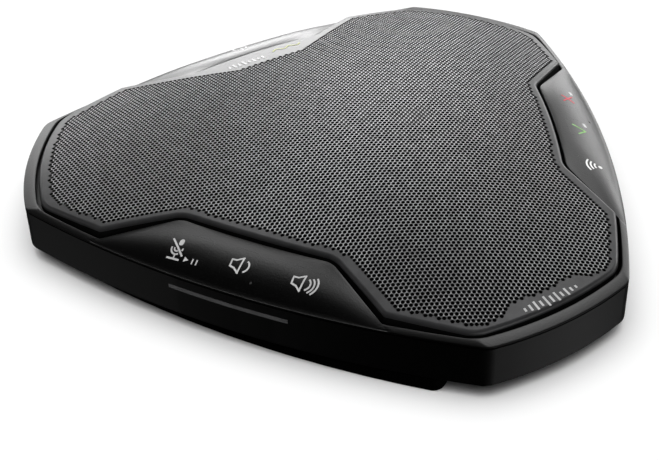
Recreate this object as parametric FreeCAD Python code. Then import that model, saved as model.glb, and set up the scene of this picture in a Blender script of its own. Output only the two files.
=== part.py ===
import FreeCAD, Part
import math
import os
from FreeCAD import Vector

# Conference speakerphone, in millimetres.
# Origin: on the table under the middle of the grille. +Z is up and the front panel faces -Y.
# The body has three lobes and three control panels between them, all repeated every 120 degrees.
# The front panel is drawn facing -Y and panel(shape, k) turns a piece to panel k.

# ---- driving dimensions ----
SECTORS = 3
SECTOR_TURN = 360.0 / SECTORS
LOBE_AXIS = -30.0           # direction of the first lobe, seen from above
BODY_RADIUS = 75.5          # axis to the rounded end of each lobe
SIDE_REACH = 58.8           # axis to the middle of each long side
SIDE_RADIUS = 232.0         # bow of the long sides
CORNER_ROUND = 5.0          # plan rounding where a long side meets a lobe end

FOOT_HEIGHT = 3.1           # table to the underside of the base
FOOT_INSET = 1.4            # outline to the front edge of each foot
FOOT_WIDTH = 5.6
FOOT_LEFT = -38.0
FOOT_RIGHT = 48.0
FOOT_END_ROUND = 2.4
FOOT_TURN = -2.65           # degrees
PARTING_Z = 12.8            # bezel sits on the base here
PARTING_GROOVE = 0.4        # height of the shadow line round the parting
GROOVE_DEPTH = 0.4
BASE_EDGE_ROUND = 0.3
WALL = 1.6
FLOOR = 1.8

PANEL_TOP_Z = 17.7          # highest line of each control panel, along the grille
PANEL_DEPTH = 12.1          # plan width of the crowned panel, outline to grille
PANEL_INNER_HALF = 17.9     # half length of the panel beside the grille
PANEL_OUTER_HALF = 33.6     # half length of the panel beside the outline
PANEL_OUTER_REACH = 55.1    # axis to the outer corners of the panel
PANEL_INNER_REACH = 46.05   # axis to the inner corners of the panel, along the panel axis
PANEL_END_BLEND = 9.0       # the crown sinks to its straight end edges over this width
RIM_Z = 13.65               # bezel rim round the lobes
RIM_SIDE = 1.6             # rim width along a long side
RIM_END = 2.8               # rim width at a lobe end
RIM_FOOT = 0.25             # least height of the bezel at its outer edge
OPENING_ROUND = 8.0         # plan rounding of the opening at the ends of a lobe
NOTCH_ROUND_INNER = 5.0
NOTCH_ROUND_OUTER = 1.5

DOME_Z = 23.07              # top of the grille
DOME_UNIT = 50.0            # the three sags below are given at this radius
DOME_SAG = 4.56
DOME_QUARTIC = 0.12
DOME_LOBE_LIFT = 0.51       # the dome stands higher along the lobes and lower at the panels
GRILLE_GAP = 0.7            # grille edge to bezel
GRILLE_SHEET = 0.6
GRILLE_SKIRT = 0.8
CLOTH_SHEET = 0.3
SLIT = 0.1                  # glued or stacked pieces stand this far apart

DECK_Z = 10.7
DECK_SHEET = 1.6
DECK_INSET = 2.6
TURRET_OUTER = 31.0
TURRET_INNER = 27.5
TURRET_Z = 17.6

KEY_Y_OUTER = -56.4
KEY_Y_INNER = -49.6
KEY_BOTTOM_Z = 14.0
KEY_STEM_Z = 13.75
KEY_STEM_R = 1.2
KEY_CLEARANCE = 0.12
KEY_ROUND = 1.2
BOARD_SHEET = 0.7
BOARD_HALF = 20.0
SWITCH_HEIGHT = 0.35
SWITCH_R = 2.0
# name, panel, middle along the panel, half width
KEYS = (
    ("key_mute", 0, -12.4, 5.3),
    ("key_volume_down", 0, 0.3, 3.3),
    ("key_volume_up", 0, 15.2, 4.2),
    ("key_end_call", 1, 13.6, 4.6),
    ("key_answer", 1, -0.9, 3.8),
    ("key_wireless", 1, -16.2, 3.8),
    ("key_power", 2, 0.3, 3.3),
)
PANEL_NAMES = ("front", "right", "left")

MIC_HOLE_X = 4.5
MIC_HOLE_Y = -56.0
MIC_HOLE_R = 0.3
LIGHT_HALF = 14.0
LIGHT_LOW_Z = 9.4
LIGHT_HIGH_Z = 10.4

SCREW_X = 24.5
SCREW_Y = -53.4
SCREW_R = 1.0
SCREW_HEAD_R = 1.9
CROSS_ARM = 0.6             # arm of a screw's cross recess, as a share of its head radius
CROSS_HALF = 0.25
CROSS_DEPTH = 0.6

CASE_FLOOR_Z = FOOT_HEIGHT + FLOOR
DECK_TOP_Z = DECK_Z + DECK_SHEET
BOARD_TOP_Z = DECK_TOP_Z + BOARD_SHEET
CROWN_RISE = PANEL_TOP_Z - PARTING_Z
CROWN_RADIUS = (PANEL_DEPTH ** 2 + CROWN_RISE ** 2) / (2 * CROWN_RISE)
SIDE_CENTRE_Y = SIDE_RADIUS - SIDE_REACH
WEDGE_START = 40.0          # each panel's plan shape is cut from a wedge this far from the axis
WEDGE_END = 73.0
UP = Vector(0, 0, 1)
ABOVE_ALL = 40.0
ROOT = 0.5                  # a boss or rib starts this deep inside the piece that it stands on


# ---- helpers ----
def panel(shape, k):
    """A copy of shape turned from the front panel to panel k."""
    copy = shape.copy()
    copy.rotate(Vector(0, 0, 0), UP, SECTOR_TURN * k)
    return copy


def lobe(shape, k):
    """A copy of shape, drawn along +X, turned to the axis of lobe k."""
    copy = shape.copy()
    copy.rotate(Vector(0, 0, 0), UP, LOBE_AXIS + SECTOR_TURN * k)
    return copy


def turned(point, k):
    angle = math.radians(SECTOR_TURN * k)
    c, s = math.cos(angle), math.sin(angle)
    return Vector(c * point.x - s * point.y, s * point.x + c * point.y, point.z)


def box(x0, x1, y0, y1, z0, z1):
    return Part.makeBox(x1 - x0, y1 - y0, z1 - z0, Vector(x0, y0, z0))


def disc(radius, z0, z1, x=0.0, y=0.0):
    return Part.makeCylinder(radius, z1 - z0, Vector(x, y, z0), UP)


def tube(outer, inner, z0, z1, x=0.0, y=0.0):
    return disc(outer, z0, z1, x, y).cut(disc(inner, z0 - 1, z1 + 1, x, y))


def fuse(shapes):
    body = shapes[0]
    if len(shapes) > 1:
        body = body.multiFuse(shapes[1:])
    return body.removeSplitter()


def upright_edges(shape, keep):
    """The vertical edges of shape whose middle passes keep(x, y)."""
    picked = []
    for edge in shape.Edges:
        a = edge.Vertexes[0].Point
        b = edge.Vertexes[-1].Point
        if (a - b).Length > 0.2 and math.hypot(a.x - b.x, a.y - b.y) < 1e-4:
            if keep(a.x, a.y):
                picked.append(edge)
    return picked


def rounded_box(x0, x1, y0, y1, z0, z1, radius):
    block = box(x0, x1, y0, y1, z0, z1)
    return block.makeFillet(radius, upright_edges(block, lambda x, y: True))


def corner_point(side_inset, end_inset):
    """Right-hand end of the front long side, where it meets the lobe end arc."""
    end_r = BODY_RADIUS - end_inset
    side_r = SIDE_RADIUS - side_inset
    y = (end_r ** 2 - side_r ** 2 + SIDE_CENTRE_Y ** 2) / (2 * SIDE_CENTRE_Y)
    return Vector(math.sqrt(end_r ** 2 - y ** 2), y, 0)


def outline_prism(z0, z1, side_inset=0.0, end_inset=None, corner=None):
    """Prism over the three-lobed outline, moved inwards by the insets."""
    if end_inset is None:
        end_inset = side_inset
    if corner is None:
        corner = max(CORNER_ROUND - side_inset, 1.0)
    right = corner_point(side_inset, end_inset)
    left = Vector(-right.x, right.y, 0)
    side_middle = Vector(0, SIDE_CENTRE_Y - (SIDE_RADIUS - side_inset), 0)
    end_angle = math.radians(LOBE_AXIS)
    end_r = BODY_RADIUS - end_inset
    end_middle = Vector(end_r * math.cos(end_angle), end_r * math.sin(end_angle), 0)
    edges = []
    for k in range(SECTORS):
        edges.append(Part.Arc(turned(left, k), turned(side_middle, k), turned(right, k)).toShape())
        edges.append(Part.Arc(turned(right, k), turned(end_middle, k), turned(left, k + 1)).toShape())
    face = Part.Face(Part.Wire(edges))
    face.translate(Vector(0, 0, z0))
    prism = face.extrude(Vector(0, 0, z1 - z0))
    return prism.makeFillet(corner, upright_edges(prism, lambda x, y: True))


def panel_slope():
    """Growth of the panel's half length for each millimetre away from the axis."""
    return (PANEL_OUTER_HALF - PANEL_INNER_HALF) / (PANEL_OUTER_REACH - PANEL_INNER_REACH)


def notch_prism(z0, z1, grow=0.0):
    """Plan shape of the front panel, run out past the outline; grow widens it."""
    slope = panel_slope()
    shift = grow * math.hypot(1, slope)

    def half_at(reach):
        return PANEL_INNER_HALF + slope * (reach - PANEL_INNER_REACH) + shift

    points = [
        Vector(-half_at(WEDGE_START), -WEDGE_START, z0),
        Vector(-half_at(WEDGE_END), -WEDGE_END, z0),
        Vector(half_at(WEDGE_END), -WEDGE_END, z0),
        Vector(half_at(WEDGE_START), -WEDGE_START, z0),
        Vector(-half_at(WEDGE_START), -WEDGE_START, z0),
    ]
    wedge = Part.Face(Part.makePolygon(points)).extrude(Vector(0, 0, z1 - z0))
    return wedge.cut(disc(SIDE_RADIUS - PANEL_DEPTH - grow, z0 - 1, z1 + 1, 0, SIDE_CENTRE_Y))


def opening_prism(z0, z1, inset=0.0):
    """The grille opening in the bezel, made smaller all round by inset."""
    prism = outline_prism(z0, z1, RIM_SIDE + inset, RIM_END + inset, OPENING_ROUND - inset)
    for k in range(SECTORS):
        prism = prism.cut(panel(notch_prism(z0 - 1, z1 + 1, inset), k))
    spare = 3.0
    inner_limit = math.hypot(PANEL_INNER_HALF, PANEL_INNER_REACH) + spare
    outer_limit = math.hypot(PANEL_OUTER_HALF, PANEL_OUTER_REACH) + spare
    inner = upright_edges(prism, lambda x, y: math.hypot(x, y) < inner_limit)
    prism = prism.makeFillet(NOTCH_ROUND_INNER, inner)

    def is_outer(x, y):
        return inner_limit < math.hypot(x, y) < outer_limit

    outer = [e for e in upright_edges(prism, is_outer) if sharp(prism, e)]
    return prism.makeFillet(NOTCH_ROUND_OUTER, outer)


def sharp(shape, edge):
    """True where the two faces beside an upright edge meet at an angle."""
    faces = shape.ancestorsOfType(edge, Part.Face)
    point = edge.Vertexes[0].Point
    normals = []
    for face in faces:
        u, v = face.Surface.parameter(point)
        normals.append(face.normalAt(u, v))
    return abs(normals[0].dot(normals[1])) < 0.98


def dome_height(x, y):
    r2 = (x * x + y * y) / DOME_UNIT ** 2
    lift = (y ** 3 - 3 * x * x * y) / DOME_UNIT ** 3
    return DOME_Z - DOME_SAG * r2 - DOME_QUARTIC * r2 * r2 + DOME_LOBE_LIFT * lift


def below_dome(drop=0.0):
    """Solid under the grille dome, with its top lowered by drop."""
    steps = 9
    reach = 80.0
    rows = []
    for i in range(steps):
        row = []
        for j in range(steps):
            x = reach * (2 * i / (steps - 1) - 1)
            y = reach * (2 * j / (steps - 1) - 1)
            row.append(Vector(x, y, dome_height(x, y) - drop))
        rows.append(row)
    surface = Part.BSplineSurface()
    surface.interpolate(rows)
    return surface.toShape().extrude(Vector(0, 0, -ABOVE_ALL))


def crown_height(x, depth):
    """Top of the front panel at x and at a depth in from the long side."""
    crown = PANEL_TOP_Z - CROWN_RADIUS + math.sqrt(CROWN_RADIUS ** 2 - (PANEL_DEPTH - depth) ** 2)
    end_z = RIM_Z + (PANEL_TOP_Z - RIM_Z) * (depth - RIM_SIDE) / (PANEL_DEPTH - RIM_SIDE)
    radius = SIDE_RADIUS - depth
    reach = math.sqrt(radius ** 2 - x ** 2) - SIDE_CENTRE_Y
    slope = panel_slope()
    end_x = PANEL_INNER_HALF + slope * (reach - PANEL_INNER_REACH)
    from_end = (end_x - abs(x)) / math.hypot(1, slope)
    share = min(max(1 - from_end / PANEL_END_BLEND, 0.0), 1.0)
    return crown - max(crown - end_z, 0.0) * share ** 2


def below_crown(drop=0.0):
    """Solid under the crowned top of the front panel, with its top lowered by drop."""
    half = 42.0
    across = 29
    deep = 15
    rows = []
    for i in range(across):
        row = []
        for j in range(deep):
            x = half * (2 * i / (across - 1) - 1)
            depth = j - 1.0
            radius = SIDE_RADIUS - depth
            y = SIDE_CENTRE_Y - math.sqrt(radius ** 2 - x ** 2)
            level = crown_height(x, min(depth, PANEL_DEPTH))
            row.append(Vector(x, y, level - drop))
        rows.append(row)
    surface = Part.BSplineSurface()
    surface.interpolate(rows)
    return surface.toShape().extrude(Vector(0, 0, -ABOVE_ALL))


def screw(x, y, head_low, head_high, tip, radius=SCREW_R, head_r=SCREW_HEAD_R):
    """Pan screw driven upwards, with a cross recess in its head."""
    body = disc(head_r, head_low, head_high, x, y).fuse(disc(radius, head_high, tip, x, y))
    arm = head_r * CROSS_ARM
    low = head_low - 1
    deep = head_low + CROSS_DEPTH
    cross = box(x - arm, x + arm, y - CROSS_HALF, y + CROSS_HALF, low, deep)
    cross = cross.fuse(box(x - CROSS_HALF, x + CROSS_HALF, y - arm, y + arm, low, deep))
    return body.cut(cross).removeSplitter()


def screw_down(x, y, top, head_height, tip, radius, head_r):
    """The same screw driven downwards, with its head on top."""
    up = screw(x, y, -top, -top + head_height, -tip, radius, head_r)
    up.rotate(Vector(x, y, 0), Vector(1, 0, 0), 180)
    return up


def save(name, shape):
    if len(shape.Solids) == 1:
        shape = shape.Solids[0]
    if not shape.isValid():
        print("NOT VALID", name)
    shape.exportStep("parts/" + name + ".step")
    b = shape.BoundBox
    print(name, len(shape.Solids), "solids", round(shape.Volume, 1),
          "z", round(b.ZMin, 2), round(b.ZMax, 2))


# ---- sizes of the inner pieces ----
CASE_SCREW_HEAD_Z = 4.0
CASE_SCREW_SEAT_Z = 5.5
CASE_SCREW_TIP = 14.3
BOSS_R = 3.0
BEZEL_BOSS_R = 2.0
BEZEL_BOSS_CAP = 0.6        # plastic over the tip of each case screw
BOSS_DROP = 0.4             # bezel bosses end this far below the crown
PANEL_CAVITY_SIDE = 1.2     # wall beside the hollow under each panel
PANEL_CAVITY_FRONT = 2.6
SCREW_FREE = 0.1            # clearance round a screw's shank
SCREW_BITE = 0.05           # and round its thread

DECK_SCREW_R = 40.0         # deck screws stand on the panel axes at this radius
DECK_SCREW_SHANK = 0.85
DECK_SCREW_HEAD_R = 1.7
DECK_SCREW_HEAD = 1.1
DECK_SCREW_DEEP = 4.0
DECK_SCREW_PASS = 1.2
RIB_END = 66.0
USB_HALF = 4.5
USB_HEIGHT = 3.2
USB_LENGTH = 7.4
MAIN_BOARD_Z = 6.2
MAIN_BOARD_SHEET = 1.2
MAIN_BOARD_TOP = MAIN_BOARD_Z + MAIN_BOARD_SHEET
USB_LOW_Z = MAIN_BOARD_TOP
REAR_LOBE = 1
BATTERY_LOBE = 0
WIRELESS_LOBE = 2
USB_FACE_R = BODY_RADIUS - 0.4
USB_WALL = 0.3
USB_CORNER = 0.42           # corner radius of the socket, as a share of its height
USB_FREE = 0.15
USB_BACK = 1.0
USB_TONGUE_HALF = 3.3
USB_TONGUE_INSET = 0.8
USB_TONGUE_SHEET = 0.7

DECK_BOSS_R = 2.4
DECK_SCREW_HOLE_R = 0.9
POST_R = 1.8
POST_SIDE = 14.0            # board posts stand this far beside a lobe's axis
MAIN_POSTS = (36.0, 62.0)   # and at these radii
WIRELESS_POSTS = (39.0, 59.0)
BOARD_SCREW_R = 0.8
BOARD_HOLE_R = 0.9
BOARD_SCREW_HEAD_R = 1.5
BOARD_SCREW_HEAD = 0.8
BOARD_SCREW_TIP = 4.1
RIB_HALF = 0.6
LEAD_SLOT = (-9.0, -4.0, -47.6, -46.0)    # slot in the deck for the key board's lead
FOOT_EDGE_ROUND = 0.4
STEM_OVERLAP = 0.3

KEY_BOARD_OUTER = -55.2
KEY_BOARD_INNER = -48.6
KEY_BOARD_ROUND = 1.0
MIC_MIDDLE = (7.1, -52.0)
MIC_HALF = (1.5, 1.4)
MIC_HEIGHT = 1.0
MIC_ROUND = 0.3
MIC_PORT_R = 0.4
MIC_PORT_DEPTH = 0.5

LIGHT_FREE = 0.03
LIGHT_DEPTH = 2.4
LIGHT_WINDOW_DEPTH = 3.0
LED_BOARD_HALF = 15.0
LED_BOARD_Y = -54.0
LED_BOARD_SHEET = 0.6
LED_BOARD_LOW = 8.6
LED_COUNT = 4
LED_PITCH = 7.0
LED_HALF = 0.8
LED_THICK = 0.8
LED_LOW = 9.3
LED_HIGH = 10.5

# radius along the lobe, place beside its axis and half size of each chip
CHIPS = (
    (42.0, -8.0, 3.5),
    (42.0, 3.0, 2.5),
    (50.0, 11.0, 2.2),
    (55.0, -11.0, 1.6),
)
CHIP_HEIGHT = 0.9
# radius from, radius to, half width and corner radius of each board
MAIN_BOARD_PLAN = (34.0, 70.5, 17.0, 2.0)
WIRELESS_BOARD_PLAN = (36.5, 61.5, 16.5, 1.5)
# radius from, radius to, side from and side to of each shield
MAIN_SHIELD_PLAN = (49.0, 61.0, -7.0, 6.0)
MAIN_SHIELD_HEIGHT = 1.8
WIRELESS_SHIELD_PLAN = (40.0, 54.0, -8.0, 8.0)
WIRELESS_SHIELD_HEIGHT = 1.6
SHIELD_ROUND = 0.6
BATTERY_PLAN = (35.0, 68.0, -16.0, 16.0)
BATTERY_LOW_Z = 5.4
BATTERY_HIGH_Z = 10.3
BATTERY_ROUND = 2.0
PAD_INSET = 2.0
LABEL_R = 19.0
LABEL_SHEET = 0.1

SPEAKER_SCREWS = 4
SPEAKER_SCREW_R = 29.3
SPEAKER_SCREW_SHANK = 0.75
SPEAKER_SCREW_HEAD_R = 1.5
SPEAKER_SCREW_HEAD = 0.9
SPEAKER_SCREW_DEEP = 3.5
SPEAKER_HOLE_R = 1.0
TURRET_HOLE_R = 0.8
TURRET_HOLE_DEEP = 4.0
GASKET = 0.4
GASKET_INSET = 0.3
FLANGE_R = 30.8
FLANGE_INNER_LOW = 26.0
FLANGE_INNER_HIGH = 24.6
FLANGE_LOW = TURRET_Z + GASKET
FLANGE_HIGH = FLANGE_LOW + 0.8
BASKET_SHEET = 1.0
BASKET_WINDOWS = 6
WINDOW_PLAN = (17.5, 24.0, -4.5, 4.5)
WINDOW_LOW = 1.6            # window above the basket's neck
WINDOW_HIGH = 0.6           # and below its flange
BASKET_NECK_Z = 11.8
MAGNET_LOW = 5.4
MAGNET_R = 16.0
GAP_FLOOR = 1.4
COIL_R = 8.0
COIL_SHEET = 0.4
COIL_LOW = 3.4              # coil above the bottom of the magnet
CAP_FREE = 0.02
CAP_SAG = 1.6
CAP_SHEET = 0.4
GAP_OUTER = 8.8
GAP_INNER = 7.0
CONE_EDGE_R = 22.0
CONE_EDGE_Z = FLANGE_HIGH
CONE_LIP = 1.6
CONE_NECK_Z = 14.2
CONE_SHEET = 0.5
ROLL_R = 1.5
ROLL_MIDDLE_R = 23.4
ROLL_LIP = 1.8
ROLL_SHEET = 0.4
ROLL_GLUE = 0.02            # glue line under the surround


def quarter_turned(shape, i):
    """A copy of shape turned to screw i of the loudspeaker."""
    copy = shape.copy()
    copy.rotate(Vector(0, 0, 0), UP, 360.0 / SPEAKER_SCREWS * (i + 0.5))
    return copy


def key_footprint(middle, half, grow, z0, z1):
    radius = KEY_ROUND + grow
    return rounded_box(middle - half - grow, middle + half + grow, KEY_Y_OUTER - grow,
                       KEY_Y_INNER + grow, z0, z1, radius)


def usb_window(grow, r0, r1):
    """Rounded slot of the USB socket, along the rear lobe."""
    low = USB_LOW_Z - grow
    high = USB_LOW_Z + USB_HEIGHT + grow
    block = box(r0, r1, -USB_HALF - grow, USB_HALF + grow, low, high)
    long_edges = []
    for edge in block.Edges:
        a = edge.Vertexes[0].Point
        b = edge.Vertexes[1].Point
        if abs(a.x - b.x) > 0.5:
            long_edges.append(edge)
    return lobe(block.makeFillet((high - low) * USB_CORNER, long_edges), REAR_LOBE)


def light_window(grow, inset0, inset1):
    """Slot of the front status light, between two depths in the wall."""
    ring = outline_prism(LIGHT_LOW_Z - grow, LIGHT_HIGH_Z + grow, inset0)
    ring = ring.cut(outline_prism(0, ABOVE_ALL, inset1))
    half = LIGHT_HALF + grow
    return ring.common(box(-half, half, -SIDE_REACH - 5, -SIDE_REACH + 10, 0, ABOVE_ALL))


def board_screw_places():
    """Lobe, radius and side of each screw through the main and wireless boards."""
    places = []
    for k, radii in ((REAR_LOBE, MAIN_POSTS), (WIRELESS_LOBE, WIRELESS_POSTS)):
        for r in radii:
            for side in (-1, 1):
                places.append((k, r, side))
    return places


# ---- casing ----
def make_base_housing():
    tub = outline_prism(FOOT_HEIGHT, PARTING_Z)
    rim = []
    for edge in tub.Edges:
        b = edge.BoundBox
        if b.ZMax < FOOT_HEIGHT + 0.01:
            rim.append(edge)
    tub = tub.makeFillet(BASE_EDGE_ROUND, rim)
    groove_z = PARTING_Z - PARTING_GROOVE
    groove = outline_prism(groove_z, PARTING_Z + 1).cut(outline_prism(0, ABOVE_ALL, GROOVE_DEPTH))
    tub = tub.cut(groove)
    tub = tub.cut(outline_prism(CASE_FLOOR_Z, PARTING_Z + 1, WALL))
    bosses = []
    holes = []
    for k in range(SECTORS):
        for side in (-1, 1):
            x = side * SCREW_X
            bosses.append(panel(disc(BOSS_R, CASE_FLOOR_Z - ROOT, DECK_Z, x, SCREW_Y), k))
            holes.append(panel(disc(SCREW_R + SCREW_FREE, 0, DECK_Z + 1, x, SCREW_Y), k))
            head = disc(SCREW_HEAD_R + 2 * SCREW_FREE, 0, CASE_SCREW_SEAT_Z, x, SCREW_Y)
            holes.append(panel(head, k))
        bosses.append(panel(disc(DECK_BOSS_R, CASE_FLOOR_Z - ROOT, DECK_Z, 0, -DECK_SCREW_R), k))
        hole = disc(DECK_SCREW_HOLE_R, CASE_FLOOR_Z + 1, DECK_Z + 1, 0, -DECK_SCREW_R)
        holes.append(panel(hole, k))
        holes.append(panel(light_window(0.0, -1.0, LIGHT_WINDOW_DEPTH), k))
    for k, r, side in board_screw_places():
        t = side * POST_SIDE
        bosses.append(lobe(disc(POST_R, CASE_FLOOR_Z - ROOT, MAIN_BOARD_Z, r, t), k))
        holes.append(lobe(disc(BOARD_SCREW_R, BOARD_SCREW_TIP - 0.1, MAIN_BOARD_Z + 1, r, t), k))
    tub = tub.multiFuse(bosses).cut(Part.makeCompound(holes))
    tub = tub.cut(usb_window(USB_FREE, USB_FACE_R - USB_LENGTH, BODY_RADIUS + 1))
    return tub.removeSplitter()


def make_bezel():
    block = outline_prism(PARTING_Z, RIM_Z)
    crowns = []
    cavities = []
    bosses = []
    holes = []
    crown_solid = below_crown()
    for k in range(SECTORS):
        block = block.cut(panel(notch_prism(PARTING_Z + RIM_FOOT, ABOVE_ALL), k))
        crown = crown_solid.common(notch_prism(PARTING_Z, ABOVE_ALL))
        crown = crown.common(outline_prism(PARTING_Z, ABOVE_ALL))
        crowns.append(panel(crown, k))
        room = below_crown(WALL).common(notch_prism(PARTING_Z - 1, ABOVE_ALL, -PANEL_CAVITY_SIDE))
        room = room.common(outline_prism(PARTING_Z - 1, ABOVE_ALL, PANEL_CAVITY_FRONT))
        cavities.append(panel(room, k))
        for side in (-1, 1):
            x = side * SCREW_X
            boss = disc(BEZEL_BOSS_R, DECK_TOP_Z, CASE_SCREW_TIP + BEZEL_BOSS_CAP, x, SCREW_Y)
            bosses.append(panel(boss.common(below_crown(BOSS_DROP)), k))
            hole = disc(SCREW_R + SCREW_BITE, 0, CASE_SCREW_TIP + SCREW_FREE, x, SCREW_Y)
            holes.append(panel(hole, k))
        holes.append(panel(disc(MIC_HOLE_R, 0, ABOVE_ALL, MIC_HOLE_X, MIC_HOLE_Y), k))
    block = block.multiFuse(crowns)
    block = block.cut(opening_prism(PARTING_Z - 2, ABOVE_ALL))
    block = block.cut(Part.makeCompound(cavities))
    for name, k, middle, half in KEYS:
        holes.append(panel(key_footprint(middle, half, KEY_CLEARANCE, 0, ABOVE_ALL), k))
    block = block.multiFuse(bosses)
    for hole in holes:
        block = block.cut(hole)
    return block.removeSplitter()


def make_speaker_deck():
    deck = outline_prism(DECK_Z, DECK_TOP_Z, DECK_INSET)
    turret = disc(TURRET_OUTER, DECK_TOP_Z - ROOT, TURRET_Z)
    ribs = []
    holes = [disc(TURRET_INNER, 0, ABOVE_ALL)]
    for k in range(SECTORS):
        rib = box(TURRET_OUTER - ROOT, RIB_END, -RIB_HALF, RIB_HALF, DECK_TOP_Z - ROOT,
                  DECK_TOP_Z + RIB_HALF)
        ribs.append(lobe(rib, k))
        for side in (-1, 1):
            hole = disc(SCREW_R + 2 * SCREW_FREE, 0, ABOVE_ALL, side * SCREW_X, SCREW_Y)
            holes.append(panel(hole, k))
        holes.append(panel(disc(DECK_SCREW_PASS, 0, ABOVE_ALL, 0, -DECK_SCREW_R), k))
        holes.append(panel(box(*LEAD_SLOT, 0, ABOVE_ALL), k))
    hole = disc(TURRET_HOLE_R, TURRET_Z - TURRET_HOLE_DEEP, TURRET_Z + 1, SPEAKER_SCREW_R, 0)
    for i in range(SPEAKER_SCREWS):
        holes.append(quarter_turned(hole, i))
    return deck.multiFuse([turret] + ribs).cut(Part.makeCompound(holes)).removeSplitter()


def make_speaker_grille():
    shell = opening_prism(DECK_TOP_Z + SLIT, ABOVE_ALL, GRILLE_GAP).common(below_dome())
    inner = opening_prism(0, ABOVE_ALL, GRILLE_GAP + GRILLE_SKIRT).common(below_dome(GRILLE_SHEET))
    return shell.cut(inner)


def make_acoustic_cloth():
    drop = GRILLE_SHEET + SLIT
    sheet = opening_prism(0, ABOVE_ALL, GRILLE_GAP + GRILLE_SKIRT + SLIT).common(below_dome(drop))
    return sheet.cut(below_dome(drop + CLOTH_SHEET))


def make_foot():
    """Long rubber foot under the front side, turned a little against the side."""
    strip = outline_prism(0, FOOT_HEIGHT, FOOT_INSET).cut(
        outline_prism(-1, FOOT_HEIGHT + 1, FOOT_INSET + FOOT_WIDTH))
    strip = strip.common(box(FOOT_LEFT, FOOT_RIGHT, -SIDE_REACH, 0, -1, FOOT_HEIGHT + 1))
    strip = strip.makeFillet(FOOT_END_ROUND, upright_edges(strip, lambda x, y: True))
    rim = []
    for edge in strip.Edges:
        if edge.BoundBox.ZMax < 0.01:
            rim.append(edge)
    strip = strip.makeFillet(FOOT_EDGE_ROUND, rim)
    strip.rotate(Vector(0, 0, 0), UP, FOOT_TURN)
    return strip


# ---- keys and their boards ----
def make_key(k, middle, half):
    cap = key_footprint(middle, half, 0.0, KEY_BOTTOM_Z, ABOVE_ALL).common(below_crown())
    stem = disc(KEY_STEM_R, KEY_STEM_Z, KEY_BOTTOM_Z + STEM_OVERLAP, middle, key_middle_y())
    return panel(cap.fuse(stem).removeSplitter(), k)


def key_middle_y():
    return (KEY_Y_OUTER + KEY_Y_INNER) / 2


def make_key_board(k):
    board = rounded_box(-BOARD_HALF, BOARD_HALF, KEY_BOARD_OUTER, KEY_BOARD_INNER,
                        DECK_TOP_Z, BOARD_TOP_Z, KEY_BOARD_ROUND)
    return panel(board, k)


def make_dome_switches(k):
    domes = []
    for name, at, middle, half in KEYS:
        if at == k:
            sag = SWITCH_HEIGHT
            radius = (SWITCH_R ** 2 + sag ** 2) / (2 * sag)
            ball = Part.makeSphere(radius, Vector(middle, key_middle_y(), BOARD_TOP_Z + sag - radius))
            above = box(-BOARD_HALF, BOARD_HALF, -BODY_RADIUS, 0, BOARD_TOP_Z, ABOVE_ALL)
            domes.append(panel(ball.common(above), k))
    return Part.makeCompound(domes)


def make_microphone(k):
    x, y = MIC_MIDDLE
    half_x, half_y = MIC_HALF
    can = rounded_box(x - half_x, x + half_x, y - half_y, y + half_y, BOARD_TOP_Z,
                      BOARD_TOP_Z + MIC_HEIGHT, MIC_ROUND)
    return panel(can.cut(disc(MIC_PORT_R, BOARD_TOP_Z + MIC_PORT_DEPTH, ABOVE_ALL, x, y)), k)


# ---- status lights ----
def make_light_bar(k):
    return panel(light_window(-LIGHT_FREE, 0.0, LIGHT_DEPTH), k)


def make_led_board(k):
    face_y = LED_BOARD_Y - LED_BOARD_SHEET
    pieces = [box(-LED_BOARD_HALF, LED_BOARD_HALF, face_y, LED_BOARD_Y, LED_BOARD_LOW, DECK_Z)]
    for i in range(LED_COUNT):
        x = LED_PITCH * (i - (LED_COUNT - 1) / 2)
        pieces.append(box(x - LED_HALF, x + LED_HALF, face_y - LED_THICK, face_y, LED_LOW, LED_HIGH))
    return panel(fuse(pieces), k)


# ---- loudspeaker ----
def revolved(points):
    """Solid of revolution about Z from (radius, z) points."""
    corners = [Vector(r, 0, z) for r, z in points]
    face = Part.Face(Part.makePolygon(corners + [corners[0]]))
    return face.revolve(Vector(0, 0, 0), UP, 360)


def make_speaker_basket():
    neck_r = MAGNET_R + BASKET_SHEET
    neck_top = BASKET_NECK_Z + BASKET_SHEET
    basket = revolved([
        (FLANGE_INNER_LOW, FLANGE_LOW), (FLANGE_R, FLANGE_LOW), (FLANGE_R, FLANGE_HIGH),
        (FLANGE_INNER_HIGH, FLANGE_HIGH), (MAGNET_R, neck_top), (GAP_OUTER, neck_top),
        (GAP_OUTER, BASKET_NECK_Z), (neck_r, BASKET_NECK_Z),
    ])
    for i in range(BASKET_WINDOWS):
        window = box(*WINDOW_PLAN, BASKET_NECK_Z + WINDOW_LOW, FLANGE_LOW - WINDOW_HIGH)
        window.rotate(Vector(0, 0, 0), UP, 360.0 / BASKET_WINDOWS * i)
        basket = basket.cut(window)
    hole = disc(SPEAKER_HOLE_R, FLANGE_LOW - 1, FLANGE_HIGH + 1, SPEAKER_SCREW_R, 0)
    for i in range(SPEAKER_SCREWS):
        basket = basket.cut(quarter_turned(hole, i))
    return basket


def make_speaker_magnet():
    block = disc(MAGNET_R, MAGNET_LOW, BASKET_NECK_Z)
    return block.cut(tube(GAP_OUTER, GAP_INNER, MAGNET_LOW + GAP_FLOOR, BASKET_NECK_Z + 1))


def make_speaker_cone():
    lip_r = CONE_EDGE_R - CONE_LIP
    return revolved([
        (COIL_R, CONE_NECK_Z), (lip_r, CONE_EDGE_Z - CONE_SHEET), (CONE_EDGE_R, CONE_EDGE_Z - CONE_SHEET),
        (CONE_EDGE_R, CONE_EDGE_Z), (lip_r, CONE_EDGE_Z), (COIL_R, CONE_NECK_Z + CONE_SHEET),
    ])


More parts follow.
